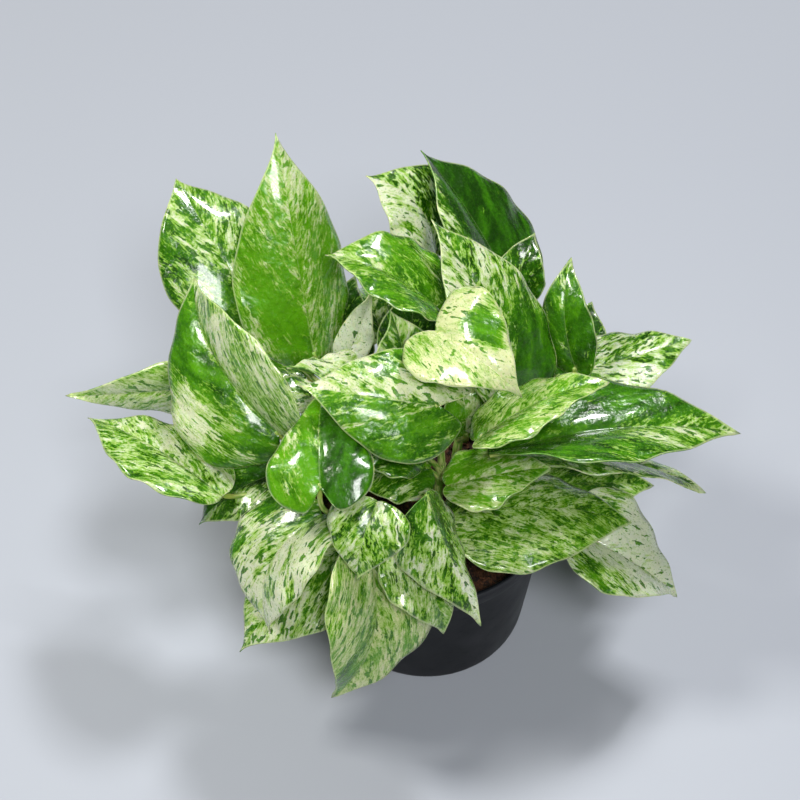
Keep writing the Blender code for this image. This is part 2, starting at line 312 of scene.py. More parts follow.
def sided_place(f: Shading) -> Socket:
    """The place in the leaf's vein frame: one axis counts the veins, and one runs along a vein.

    Args:
        f: The finish that reads it.

    Returns:
        The place in millimetres. The halves of the leaf lie on layers of their own, so that the
        marbling on one side of the midrib doesn't mirror the other's.
    """
    level, across, seed = f.split("vein_place")
    along = f.split("blade_place")[0]
    outward = f.add("Math", {"operation": "ABSOLUTE", 0: across})
    run = f.add("Math", {"operation": "MULTIPLY_ADD", 0: along, 1: VEIN_LEAN, 2: outward})
    run = f.add("Math", {"operation": "DIVIDE", 0: run, 1: VEIN_SLOPE})
    side = f.add("Math", {"operation": "SIGN", 0: across})
    layer = f.add("Math", {"operation": "MULTIPLY_ADD", 0: side, 1: HALVES_APART, 2: seed})
    return f.add("CombineXYZ", {0: level, 1: run, 2: layer})


def vein_grain(across_mm: float, along_mm: float) -> tuple[float, float, float]:
    """A grain's size in the vein frame, from its size across and along a vein."""
    return across_mm * VEIN_SLOPE, along_mm, 1.0


@dataclass(frozen=True)
class WaxyLeafFinish:
    """The upper face of a living leaf: a clear wax skin over green and cream tissue.

    The skin gives crisp, broken highlights. The cream sectors hold no chlorophyll. They run along
    the veins in streaks a few millimetres wide, with grainy edges and islands of green cells. Sizes
    in pairs are across and along a vein.
    """

    cream: str = "D6DFC2"
    butter: str = "D3D99A"
    milk_green: str = "A6C46B"
    light_green: str = "72A428"
    bright_green: str = "57980D"
    leaf_green: str = "326B07"
    deep_green: str = "1A4203"
    vein: str = "CCDBA0"
    sector_mm: tuple[float, float] = (9.0, 30.0)
    streak_mm: tuple[float, float] = (2.6, 9.0)
    broad_mm: tuple[float, float] = (7.0, 18.0)
    island_mm: tuple[float, float] = (3.0, 6.4)
    fine_mm: tuple[float, float] = (1.0, 3.6)
    blotch_mm: float = 6.0
    grit_mm: float = 2.0
    fleck_mm: float = 1.0
    skin_mm: float = 1.5
    film_mm: float = 6.0
    stray_mm: float = 5.0
    stray: tuple[float, float, float] = (5.0, 4.0, 0.0)
    second_layer: tuple[float, float, float] = (37.0, 11.0, 5.0)
    roughness: float = 0.26
    coat: float = 0.65

    def make(self) -> bpy.types.Material:
        """Builds the material.

        Returns:
            The material of the upper face.
        """
        f = new_finish("waxy leaf, upper face")
        from_rib, from_margin, along = f.split("leaf_lines")
        creamy, tone_and_painted_shade, warmth = f.split("leaf_look")
        patchy = f.add("Attribute", {"attribute_name": "patchiness"}, "Fac")
        blade = f.add("Attribute", {"attribute_name": "blade_place"}, "Vector")

        swirl = f.add("TexNoise", {"Vector": blade, "Scale": 1 / self.stray_mm, "Detail": 2.0}, "Color")
        swirl = f.add("VectorMath", {"operation": "SUBTRACT", 0: swirl, 1: (0.5, 0.5, 0.5)})
        path = {"operation": "MULTIPLY_ADD", 0: swirl, 1: self.stray, 2: sided_place(f)}
        wander = f.add("VectorMath", path)
        moved = f.add("VectorMath", {"operation": "ADD", 0: wander, 1: self.second_layer})
        sector = f.grain(wander, vein_grain(*self.sector_mm), 1.5)
        streak = f.grain(wander, vein_grain(*self.streak_mm), 2.5, 0.55)
        second = f.grain(moved, vein_grain(*self.streak_mm), 2.5, 0.6)
        broad = f.grain(moved, vein_grain(*self.broad_mm), 2.0)
        island = f.grain(moved, vein_grain(*self.island_mm), 1.2, 0.5)
        fine = f.grain(moved, vein_grain(*self.fine_mm), 2.0, 0.6)
        blotch = f.grain(blade, self.blotch_mm, 2.5, 0.6)
        grit = f.grain(blade, self.grit_mm, 3.0, 0.7)
        fleck = f.grain(blade, self.fleck_mm, 1.0)

        forms = f.swing(0.0, (sector, 1.5), (streak, 1.2), (blotch, 1.0))
        value = f.add("Math", {"operation": "MULTIPLY_ADD", 0: forms, 1: patchy, 2: creamy})
        drift = f.add("Math", {"operation": "MULTIPLY", 0: patchy, 1: 1.1})
        over = f.swing(value, (second, drift), (fine, 0.8), (fleck, 0.6))
        value = f.swing(value, (fine, 1.3), (grit, 0.7))
        # The green's tone, lowered by painted shade on some right halves
        shade = f.swing(tone_and_painted_shade, (broad, 1.6), (grit, 0.7))
        green = f.tint(self.deep_green, self.leaf_green, shade, 0.0, 0.5)
        green = f.tint(green, self.bright_green, shade, 0.4, 1.0)
        colour = f.tint(green, self.light_green, value, 0.3, 0.5)
        colour = f.tint(colour, self.milk_green, value, 0.42, 0.76)
        cream = f.add("Mix", {"data_type": "RGBA", 0: warmth, 6: self.cream, 7: self.butter}, 2)
        colour = f.tint(colour, cream, over, 0.5, 0.98)

        spot = f.swing(island, (grit, 0.3), (creamy, -0.14), (patchy, 0.09))
        colour = f.tint(colour, green, spot, 0.597, 0.627, 0.94)
        pale = f.add("MapRange", {"Value": creamy, "From Min": -1 / 12, "From Max": 0.75, "To Max": 0.6})
        colour = f.tint(colour, self.light_green, f.swing(fleck, (grit, 0.6)), 0.62, 0.72, pale)
        rib_width = f.add("Math", {"operation": "MULTIPLY_ADD", 0: along, 1: -0.4, 2: 0.5})
        off_rib = f.add("Math", {"operation": "DIVIDE", 0: from_rib, 1: rib_width})
        colour = f.tint(colour, self.vein, off_rib, 1.2, 0.3, 0.16)
        colour = f.tint(colour, self.vein, from_margin, 0.8, 0.2, 0.6)

        skin = f.grain(blade, self.skin_mm, 2.0, 0.6)
        film = f.grain(blade, self.film_mm, 1.5)
        height = f.swing(0.0, (film, 2.8), (skin, 0.45))
        bump = f.add("Bump", {"Strength": 0.55, "Distance": 0.0006, "Height": height})
        f.set_shader(Base_Color=colour, Normal=bump, Roughness=f.swing(self.roughness, (skin, 0.25)))
        f.set_shader(IOR=1.4, Coat_Weight=self.coat, Coat_Roughness=0.07, Coat_IOR=1.45)
        f.set_shader(Subsurface_Weight=0.3, Subsurface_Radius=(0.6, 1.0, 0.15), Subsurface_Scale=0.0015)
        return f.owner


@dataclass(frozen=True)
class LeafUndersideFinish:
    """The lower face of the leaf: paler and matt, with the marbling showing through."""

    cream: str = "DDE3B4"
    pale_green: str = "8DB15A"
    green: str = "4C8424"
    streak_mm: tuple[float, float] = (3.0, 6.5)
    sector_mm: tuple[float, float] = (11.0, 24.0)
    skin_mm: tuple[float, float, float] = (1.2, 2.0, 1.0)

    def make(self) -> bpy.types.Material:
        """Builds the material.

        Returns:
            The material of the lower face.
        """
        f = new_finish("leaf underside, matt")
        sided = sided_place(f)
        streak = f.grain(sided, vein_grain(*self.streak_mm), 3.0, 0.6)
        sector = f.grain(sided, vein_grain(*self.sector_mm), 1.5)
        value = f.swing(f.split("leaf_look")[0], (streak, 2.2), (sector, 1.5))
        colour = f.tint(self.green, self.pale_green, value, 0.3, 0.62)
        colour = f.tint(colour, self.cream, value, 0.55, 0.95)
        place = f.add("Attribute", {"attribute_name": "vein_place"}, "Vector")
        skin = f.grain(place, self.skin_mm, 2.0)
        bump = f.add("Bump", {"Strength": 0.3, "Distance": 0.0003, "Height": skin})
        f.set_shader(Base_Color=colour, Normal=bump, Roughness=0.52, IOR=1.4)
        f.set_shader(Subsurface_Weight=0.12, Subsurface_Radius=(0.7, 1.0, 0.25), Subsurface_Scale=0.0015)
        return f.owner


@dataclass(frozen=True)
class StalkFinish:
    """Fleshy stalks and canes: smooth skin, streaked green and cream, yellower at the blade's knee."""

    green: str = "6E9E33"
    pale: str = "C3CF7E"
    knee: str = "A9B84E"
    streak_mm: tuple[float, float, float] = (9.0, 1.1, 1.1)

    def make(self) -> bpy.types.Material:
        """Builds the material.

        Returns:
            The material of stalks and canes.
        """
        f = new_finish("fleshy stalk skin")
        place = f.add("Attribute", {"attribute_name": "vein_place"}, "Vector")
        colour = f.tint(self.green, self.pale, f.grain(place, self.streak_mm, 2.0), 0.42, 0.62)
        yellow = f.add("Math", {"operation": "MULTIPLY", 0: f.split("leaf_look")[0], 1: 0.8})
        colour = f.add("Mix", {"data_type": "RGBA", 0: yellow, 6: colour, 7: self.knee}, 2)
        f.set_shader(Base_Color=colour, Roughness=0.38, IOR=1.42)
        f.set_shader(Subsurface_Weight=0.1, Subsurface_Scale=0.0015)
        return f.owner


@dataclass(frozen=True)
class MouldedPotFinish:
    """Injection-moulded black polypropylene: a fine satin grain, with faint scuffs all over it."""

    black: str = "070A10"
    scuffed: str = "1A1E22"
    cloud_mm: tuple[float, float, float] = (22.0, 22.0, 30.0)
    rub_mm: tuple[float, float, float] = (5.0, 5.0, 0.8)
    grit_mm: float = 0.7

    def make(self) -> bpy.types.Material:
        """Builds the material.

        Returns:
            The pot's material.
        """
        f = new_finish("moulded black polypropylene")
        place = f.millimetres()
        cloud = f.grain(place, self.cloud_mm, 3.0)
        rub = f.grain(place, self.rub_mm, 3.0, 0.7)
        dull = {**SMOOTH, "Value": cloud, "From Min": 0.45, "From Max": 0.62, "To Max": 0.5}
        clouded = f.add("MapRange", dull)
        scuffs = {**SMOOTH, "Value": rub, "From Min": 0.56, "From Max": 0.7, "To Max": clouded}
        worn = f.add("MapRange", scuffs)
        colour = f.add("Mix", {"data_type": "RGBA", 0: worn, 6: self.black, 7: self.scuffed}, 2)
        rough = f.swing(0.4, (cloud, 0.3))
        rough = f.add("Math", {"operation": "MULTIPLY_ADD", 0: worn, 1: 0.3, 2: rough})
        grit = f.grain(place, self.grit_mm, 2.0)
        bump = f.add("Bump", {"Strength": 0.25, "Distance": 0.0002, "Height": grit})
        f.set_shader(Base_Color=colour, Roughness=rough, Normal=bump, IOR=1.49, Specular_IOR_Level=0.2)
        return f.owner


@dataclass(frozen=True)
class CoirMixFinish:
    """Damp potting mix: dark peat with reddish coir fibre and bark, rough, darker in the hollows."""

    peat: str = "1A0F09"
    coir: str = "452917"
    bark: str = "70462C"
    lump_mm: float = 4.0
    fleck_mm: float = 1.1
    fibre_mm: tuple[float, float, float] = (0.5, 5.0, 1.0)

    def make(self) -> bpy.types.Material:
        """Builds the material.

        Returns:
            The mix's material.
        """
        f = new_finish("damp coir and peat")
        place = f.millimetres()
        lump = f.grain(place, self.lump_mm, 3.0, 0.6)
        fleck = f.grain(place, self.fleck_mm, 2.0, 0.6)
        colour = f.tint(self.peat, self.coir, lump, 0.4, 0.62)
        colour = f.tint(colour, self.bark, fleck, 0.56, 0.68, 0.7)
        colour = f.tint(colour, self.bark, f.grain(place, self.fibre_mm, 1.0), 0.6, 0.7, 0.4)
        height = f.swing(0.0, (lump, 1.0), (fleck, 0.6))
        bump = f.add("Bump", {"Strength": 0.8, "Distance": 0.0012, "Height": height})
        f.set_shader(Base_Color=colour, Normal=bump, Roughness=0.82, IOR=1.4)
        return f.owner


class Tone(Enum):
    """The green of a leaf: how bright it is, and how yellow its cream is."""

    BRIGHT = (0.95, 0.35)
    FRESH = (0.62, 0.3)
    MIDDLE = (0.45, 0.2)
    DARK = (0.2, 0.15)
    DEEP = (0.05, 0.1)
    YELLOWED = (0.7, 0.75)
    WHITE = (0.5, 0.0)
    COOL = (0.3, 0.0)


@dataclass(frozen=True)
class Patch:
    """A place where the leaf is creamier, or greener where amount is negative.

    row runs from 0 at the stalk to 1 at the tip, and across from -1 at the left margin to 1 at the
    right one. long and wide are the patch's reach along each.
    """

    row: float
    across: float
    long: float
    wide: float
    amount: float


@dataclass(frozen=True)
class Marbling:
    """How a leaf is marbled: the creamy share of each half, what its ends add, and its patches.

    shade_right is painted shade: it darkens the green of the right half, as if that half
    were turned away from the light. patchy is how far the marbling gathers in large patches, from 0
    (an even, fine mottle) to 1.
    """

    left: float = 0.45
    right: float = 0.45
    base: float = 0.0
    tip: float = 0.0
    tone: Tone = Tone.MIDDLE
    # Painted shade: how much darker the right half's green is painted, as if turned from the light
    shade_right: float = 0.0
    patchy: float = 1.0
    patches: tuple[Patch, ...] = ()

    @staticmethod
    def on_right(across: np.ndarray) -> np.ndarray:
        """How far points are on the right half, from 0 to 1 across the midrib."""
        return np.clip(across / RIB_BLEND * 0.5 + 0.5, 0, 1)

    def creaminess(self, row: np.ndarray, across: np.ndarray) -> np.ndarray:
        """The creamy share at points of the blade.

        Args:
            row: Each point's place from the stalk (0) to the tip (1).
            across: Its place from the left margin (-1) to the right one (1).

        Returns:
            The share at each point.
        """
        share = self.left + (self.right - self.left) * self.on_right(across)
        share = share + self.base * np.clip(1 - row / END_REACH, 0, 1)
        share = share + self.tip * np.clip(1 - (1 - row) / END_REACH, 0, 1)
        for patch in self.patches:
            far = ((row - patch.row) / patch.long) ** 2 + ((across - patch.across) / patch.wide) ** 2
            share = share + patch.amount * np.exp(-(far**1.5))
        return share


@dataclass(frozen=True)
class Blade:
    """One leaf blade and its stalk. Lengths are in millimetres and angles in degrees.

    roll tips the blade to its right, fold lifts its halves from the midrib, arch and sway bend the
    midrib up and to the right, and twist turns the tip. lobe is how far the base lobes reach back,
    as a share of the length, and a larger taper narrows the tip. The stalk leaves the cane at the
    share rise of its height. crook is where the stalk heads for before it meets the blade.
    """

    base: tuple[float, float, float]
    tip: tuple[float, float, float]
    width: float
    roll: float = 0
    fold: float = 14
    arch: float = 6
    sway: float = 0
    twist: float = 0
    lobe: float = 0.07
    taper: float = 0.98
    rise: float = 0.6
    bow: float = 0
    crook: tuple[float, float, float] | None = None
    marbling: Marbling = Marbling()


@dataclass
class LeafGrower:
    """Turns a Blade's values into its waved, grooved and quilted sheet and its stalk."""

    rows: int = 46
    half_columns: int = 12
    thickness: float = 0.5
    wave_height: float = 1.5
    waves: float = 1.6
    cup: float = 0.25
    tip_hook: float = 3.0
    swell: float = 0.56
    rib_pace: float = 1.7
    lobe_pace: float = 0.006
    drip_depth: float = 0.4
    drip_reach: float = 0.13
    edge_sweep: float = 1.15
    fold_ease: float = 0.35
    twist_centre: float = 0.4
    groove_depth: float = 0.7
    groove_width: float = 1.7
    vein_gap: float = 7.0
    vein_lean: float = 1.3
    streak_curve: float = 0.03
    quilt_height: float = 0.22
    pucker_height: float = 0.8
    pucker_mm: tuple[float, float] = (15.0, 11.0)
    pucker_start: float = 6.0
    ripple_height: float = 1.1
    ripples: float = 4.3
    smooth_base: float = 0.05
    smooth_tip: float = 0.12
    full_relief_width: float = 18.0
    stalk_radius: float = 1.6
    stalk_end_radius: float = 1.1
    stalk_points: int = 26
    stalk_sink: float = 2.5
    stalk_drop: float = 0.7
    sheath_swell: float = 0.35
    knee_swell: float = 0.25
    knee_place: float = 0.9
    rib_share: float = 0.86
    rib_points: int = 22
    rib_radius: float = 1.1
    rib_tip_radius: float = 0.25
    rib_yellow: float = 0.15

    def row_places(self) -> np.ndarray:
        """The rows' places from 0 to 1, close together at the stalk."""
        t = np.linspace(0, 1, self.rows + 1) ** 1.7
        return t * (1.25 - 0.25 * t)

    def column_places(self) -> np.ndarray:
        """The columns' places, close together at the midrib and the margins.

        Returns:
            The places, from -1 at the left margin to 1 at the right one.
        """
        t = np.linspace(0, 1, self.half_columns + 1)
        half = t**1.35 * (1 - 0.18 * t) + 0.18 * (1 - (1 - t) ** 2) * t
        half = half / half[-1]
        return np.concatenate([-half[:0:-1], half])

    def surface(
        self, blade: Blade, row: np.ndarray, across: np.ndarray, seed: float, fine: bool
    ) -> tuple[np.ndarray, np.ndarray]:
        """Points of the blade.

        Args:
            blade: The blade.
            row: Each point's place from the stalk (0) to the tip (1).
            across: Its place from the left margin (-1) to the right one (1).
            seed: A number that sets this leaf's small waves apart from another's.
            fine: Whether the groove, quilting and puckers are added to the plain form.

        Returns:
            The points in millimetres, and each one's flat place: its distance along the midrib,
            its signed distance from the midrib, and its distance from the margin.
        """
        base = np.array(blade.base, float)
        chord = np.array(blade.tip, float) - base
        length = np.linalg.norm(chord)
        forward = chord / length
        upright = np.array(UP) - forward * forward[2]
        upright /= np.linalg.norm(upright)
        roll = radians(blade.roll)
        face = upright * cos(roll) + np.cross(forward, upright) * sin(roll)
        right = np.cross(forward, face)
        spread = np.abs(across)
        side = np.sign(across)
        peak_row = self.swell / (self.swell + blade.taper)
        peak = peak_row**self.swell * (1 - peak_row) ** blade.taper
        drip = 1 - self.drip_depth * np.exp(-(((1 - row) / self.drip_reach) ** 2))
        half_width = blade.width / 2 * row**self.swell * (1 - row) ** blade.taper / peak * drip
        half = half_width * spread
        rib = row**self.rib_pace
        edge = (1 + blade.lobe) * row - blade.lobe * (1 - np.exp(-row / self.lobe_pace))
        x = rib + (edge - rib) * spread**self.edge_sweep
        inside = np.clip(x, 0, 1)
        fold = radians(blade.fold) * (1 - self.fold_ease * inside)
        phase = 2 * pi * self.waves * row + np.where(across > 0, 0.9, -0.9)
        out = half * np.cos(fold) * side
        lift = half * np.sin(fold) - self.cup * half * spread
        lift = lift + self.wave_height * spread**2 * np.sin(phase)
        if fine:
            lift = lift + self.relief(x * length, half_width, spread, row, side, seed)
        turn = radians(blade.twist) * (x - self.twist_centre)
        out, lift = (
            out * np.cos(turn) + lift * np.sin(turn),
            lift * np.cos(turn) - out * np.sin(turn),
        )
        bend = 4 * x * (1 - x)
        tilt = np.arctan(blade.arch * 4 * (1 - 2 * x) / length)
        hook = self.tip_hook * inside**6
        points = (
            base
            + forward * (x * length - lift * np.sin(tilt))[:, None]
            + right * (blade.sway * bend + out)[:, None]
            + face * (blade.arch * bend - hook + lift * np.cos(tilt))[:, None]
        )
        flat = np.stack([x * length, half * side, half_width * (1 - spread)], 1)
        return points, flat

    def relief(
        self,
        x: np.ndarray,
        half_width: np.ndarray,
        spread: np.ndarray,
        row: np.ndarray,
        side: np.ndarray,
        seed: float,
    ) -> np.ndarray:
        """Small forms of the blade: midrib groove, quilting between the veins, puckers and ripples.

        Args:
            x: Distance along the midrib, in millimetres.
            half_width: The blade's half width there, in millimetres.
            spread: How far out the point is, from 0 at the midrib to 1 at the margin.
            row: The place from the stalk (0) to the tip (1).
            side: -1 on the left half and 1 on the right.
            seed: The leaf's seed.

        Returns:
            The lift at each point, in millimetres.
        """
        half = half_width * spread
        ends = np.clip(row / self.smooth_base, 0, 1) * np.clip((1 - row) / self.smooth_tip, 0, 1)
        size = np.clip(half_width / self.full_relief_width, 0.3, 1)
        groove = -self.groove_depth * np.exp(-((half / self.groove_width) ** 2)) * (1 - 0.6 * row)
        vein = (x - self.vein_lean * half + side * self.vein_gap * 0.25) / self.vein_gap
        quilt = self.quilt_height * (np.abs(np.sin(pi * vein)) ** 0.7 - 0.6) * np.sin(pi * spread**0.8)
        long, wide = self.pucker_mm
        pucker = [noise.noise(Vector((a / long, b / wide, seed))) for a, b in zip(x, half * side)]
        pucker = self.pucker_height * np.array(pucker) * np.clip(half / self.pucker_start, 0, 1)
        phase = 2 * pi * self.ripples * row + seed * 1.7 + side
        ripple = self.ripple_height * spread**4 * np.sin(phase)
        return (groove + quilt + (pucker + ripple) * size) * ends

    def blade(self, blade: Blade, seed: float, finishes: list[bpy.types.Material]) -> bpy.types.Object:
        """One blade, from a grid that is shaped, welded at its ends and given its thickness.

        Args:
            blade: The blade's values.
            seed: The leaf's seed.
            finishes: The materials of the upper face, the lower face and the stalk.

        Returns:
            The blade's object.
        """
        columns = self.column_places()
        rows = self.row_places()
        deselect()
        last = len(columns) - 1
        bpy.ops.mesh.primitive_grid_add(x_subdivisions=last, y_subdivisions=self.rows, size=2)
        obj = bpy.context.object
        mesh = obj.data
        co = read_points(mesh)
        across = columns[np.rint((co[:, 0] + 1) / 2 * last).astype(int)]
        row = rows[np.rint((co[:, 1] + 1) / 2 * self.rows).astype(int)]
        across = np.where((row > 0) & (row < 1), across, 0.0)
        points, flat = self.surface(blade, row, across, seed, fine=True)
        mesh.vertices.foreach_set("co", (points * MM).ravel())
        set_attributes(mesh, self.look(blade.marbling, row, across, flat, seed))
        weld(0.01)
        for finish in finishes:
            mesh.materials.append(finish)
        bpy.ops.object.shade_smooth()
        shell = obj.modifiers.new("Leaf thickness", "SOLIDIFY")
        shell.thickness = self.thickness * MM
        shell.offset = 0
        shell.material_offset = 1
        shell.material_offset_rim = 1
        apply_modifiers(obj)
        return obj

    def look(
        self, marbling: Marbling, row: np.ndarray, across: np.ndarray, flat: np.ndarray, seed: float
    ) -> dict[str, np.ndarray]:
        """What the leaf's finishes read at each point.

        Args:
            marbling: How the leaf is marbled.
            row: Each point's place from the stalk (0) to the tip (1).
            across: Its place from the left margin (-1) to the right one (1).
            flat: Its flat place, as surface gives it.
            seed: The leaf's seed.

        Returns:
            The attributes: the place among the veins and on the blade, how patchy the marbling is,
            the distances from the midrib and the margin, and how creamy, bright and warm it is, with the
            green made darker on right halves that carry painted shade.
        """
        along, aside, from_margin = flat.T
        off = np.abs(aside)
        level = along - VEIN_LEAN * off - self.streak_curve * off**2
        layer = np.full(len(row), seed * 13.7)
        tone, warmth = marbling.tone.value
        # Painted shade: the right half's green is made darker, as if turned from the light
        bright = tone - marbling.shade_right * marbling.on_right(across)
        creamy = marbling.creaminess(row, across)
        return {
            "vein_place": np.stack([level, aside, layer], 1),
            "blade_place": np.stack([along, aside, layer], 1),
            "patchiness": np.full(len(row), marbling.patchy),
            "leaf_lines": np.stack([off, from_margin, row], 1),
            "leaf_look": np.stack([creamy, bright, np.full(len(row), warmth)], 1),
        }

    def tube(
        self,
        name: str,
        points: list[Vector],
        radii: list[float],
        knee: list[float],
        seed: float,
        finish: bpy.types.Material,
    ) -> bpy.types.Object:
        """A round stalk or rib: a bevelled curve that is made a mesh.

        Args:
            name: The object's name.
            points: Its line, in millimetres.
            radii: The radius at each point.
            knee: How yellow each point is, from 0 to 1.
            seed: The leaf's seed.
            finish: The stalk's material.

        Returns:
            The tube's object.
        """
        curve = bpy.data.curves.new(name, "CURVE")
        curve.dimensions = "3D"
        curve.twist_mode = "MINIMUM"
        curve.bevel_depth = MM
        curve.bevel_resolution = 3
        curve.use_fill_caps = True
        spline = curve.splines.new("POLY")
        spline.points.add(len(points) - 1)
        for knot, point, radius in zip(spline.points, points, radii):
            knot.co = (*(point * MM), 1)
            knot.radius = radius
        obj = bpy.data.objects.new(name, curve)
        bpy.context.scene.collection.objects.link(obj)
        take(obj)
        bpy.ops.object.convert(target="MESH")
        obj = bpy.context.object
        weld(0.001)
        mesh = obj.data
        co = read_points(mesh) / MM
        line = np.array([tuple(point) for point in points])
        nearest = np.argmin(((co[:, None] - line[None]) ** 2).sum(2), 1)
        run = np.concatenate([[0], np.cumsum(np.linalg.norm(np.diff(line, axis=0), axis=1))])
        off = co - line[nearest]
        place = np.stack([run[nearest] + seed * 50, off[:, 0] + off[:, 2] * 0.5, off[:, 1]], 1)
        zero = np.zeros(len(co))
        yellow = np.stack([np.array(knee)[nearest], zero, zero], 1)
        set_attributes(mesh, {"vein_place": place, "leaf_look": yellow})
        mesh.materials.clear()
        mesh.materials.append(finish)
        bpy.ops.object.shade_smooth()
        return obj

    def midrib(self, blade: Blade, seed: float, finish: bpy.types.Material) -> bpy.types.Object:
        """The rib under the blade, which runs on from the stalk and fades before the tip.

        Args:
            blade: The blade's values.
            seed: The leaf's seed.
            finish: The stalk's material.

        Returns:
            The rib's object.
        """
        share = np.linspace(0.0, self.rib_share, self.rib_points)
        row = share ** (1 / self.rib_pace)
        centre = np.zeros(self.rib_points)
        points, _ = self.surface(blade, row, centre, seed, fine=True)
        middle, _ = self.surface(blade, row, centre, seed, fine=False)
        near, _ = self.surface(blade, row, centre + 0.02, seed, fine=False)
        ahead = np.gradient(middle, axis=0)
        across = near - middle
        down = -np.cross(across, ahead)
        down /= np.linalg.norm(down, axis=1)[:, None] + 1e-9
        down[0] = down[1]
        span = self.rib_radius - self.rib_tip_radius
        radii = self.rib_tip_radius + span * (1 - share / self.rib_share) ** 0.8
        line = [Vector(point) for point in points + down * (radii * 1.05 - 0.1)[:, None]]
        yellow = [self.rib_yellow] * self.rib_points
        return self.tube("midrib", line, list(radii), yellow, seed, finish)


def along_line(points: list[Vector], share: float) -> Vector:
    """The point at a share of the line's length.

    Args:
        points: The line.
        share: From 0 at its start to 1 at its end.

    Returns:
        The point.
    """
    steps = [(b - a).length for a, b in zip(points, points[1:])]
    left = share * sum(steps)
    for start, end, step in zip(points, points[1:], steps):
        if left <= step:
            return start.lerp(end, left / step)
        left -= step
    return points[-1]


@dataclass
class LeafyStem:
    """One leafy stem: a cane that stands in the mix, with its stalks and blades."""

    node: str
    foot: tuple[float, float]
    top: tuple[float, float, float]
    blades: tuple[Blade, ...]
    soil_level: float = 88
    buried: float = 8
    upright_foot: float = 6
    cane_radius: float = 2.6
    cane_top_radius: float = 2.0
    joint_swell: float = 0.3
    bud_length: float = 1.6
    bud_radius: float = 0.9
    grower: LeafGrower = field(default_factory=LeafGrower)

    def cane_line(self, count: int) -> list[Vector]:
        """The cane's line above the mix, from its foot to its growing tip.

        Args:
            count: How many points it has.

        Returns:
            The points, in millimetres.
        """
        foot = Vector((*self.foot, self.soil_level + self.upright_foot))
        top = Vector(self.top)
        height = self.top[2] - self.soil_level
        return interpolate_bezier(foot, foot + UP * height * 0.35, top - UP * height * 0.2, top, count)

    def cane(self, seed: float, finish: bpy.types.Material) -> bpy.types.Object:
        """The cane, swollen at each joint where a stalk leaves it.

        Args:
            seed: The stem's seed.
            finish: The stalk's material.

        Returns:
            The cane's object.
        """
        bend = self.cane_line(30)
        joints = [blade.rise for blade in self.blades]
        line = [Vector((*self.foot, self.soil_level - self.buried)), *bend]
        radii = [self.cane_radius]
        for i in range(len(bend)):
            share = i / (len(bend) - 1)
            swelling = max(exp(-(((share - joint) / 0.03) ** 2)) for joint in joints)
            plain = self.cane_radius + (self.cane_top_radius - self.cane_radius) * share
            radii.append(plain + self.joint_swell * swelling)
        line.append(line[-1] + (line[-1] - line[-2]).normalized() * self.bud_length)
        radii.append(self.bud_radius)
        return self.grower.tube("cane", line, radii, [0.0] * len(line), seed, finish)

    def stalk_line(self, blade: Blade) -> list[Vector]:
        """The leaf stalk's line: up from the cane, over, and into the blade's base from below.

        Args:
            blade: The blade that it carries.

        Returns:
            The points, in millimetres.
        """
        start = along_line(self.cane_line(6), blade.rise)
        base = Vector(blade.base)
        ends, _ = self.grower.surface(blade, np.array([0.0, 0.05]), np.zeros(2), 0, fine=False)
        heading = (Vector(ends[1]) - Vector(ends[0])).normalized()
        reach = (base - start).length
        level = Vector((heading.x, heading.y, 0))
        away = -(heading * 0.6 + UP * 0.5)
        if heading.z < -0.2:
            away = -(level * 0.7 + UP * 0.55)
        elif away.length < 0.3:
            away = -UP
        outward = Vector((base.x - start.x, base.y - start.y, 0)).normalized()
        bow = UP.cross(outward) * blade.bow
        leaving = start + UP * 0.38 * reach + outward * 0.12 * reach + bow
        arriving = base + away.normalized() * 0.38 * reach + bow
        if blade.crook:
            arriving = base + Vector(blade.crook)
        side = heading.cross(UP)
        below = side.cross(heading).normalized() * -self.grower.stalk_drop
        end = base + heading * self.grower.stalk_sink + below
        return interpolate_bezier(start, leaving, arriving, end, self.grower.stalk_points)

    def stalk(self, blade: Blade, seed: float, finish: bpy.types.Material) -> bpy.types.Object:
        """One leaf stalk, broad at its sheath and slightly swollen at the knee below the blade.

        Args:
            blade: The blade that it carries.
            seed: The leaf's seed.
            finish: The stalk's material.

        Returns:
            The stalk's object.
        """
        line = self.stalk_line(blade)
        grower = self.grower
        radii, yellow = [], []
        for i in range(len(line)):
            share = i / (len(line) - 1)
            sheath = grower.sheath_swell * exp(-((share / 0.2) ** 2))
            knee = exp(-(((share - grower.knee_place) / 0.06) ** 2))
            span = grower.stalk_end_radius - grower.stalk_radius
            radii.append(grower.stalk_radius + span * share + sheath + grower.knee_swell * knee)
            yellow.append(knee)
        return grower.tube("stalk", line, radii, yellow, seed, finish)

    def build(self, index: int, finishes: list[bpy.types.Material]) -> bpy.types.Object:
        """Builds the whole leafy stem as one piece.

        Args:
            index: The stem's number, which seeds its leaves.
            finishes: The materials of the upper face, the lower face and the stalk.

        Returns:
            The finished piece.
        """
        pieces = []
        for i, blade in enumerate(self.blades):
            seed = index * 5 + i + 1.0
            pieces.append(self.grower.blade(blade, seed, finishes))
            pieces.append(self.grower.midrib(blade, seed, finishes[2]))
            pieces.append(self.stalk(blade, seed, finishes[2]))
        pieces.append(self.cane(index * 5.0, finishes[2]))
        obj = joined("leafy_" + self.node, pieces)
        hand_in(obj, self.node)
        return obj


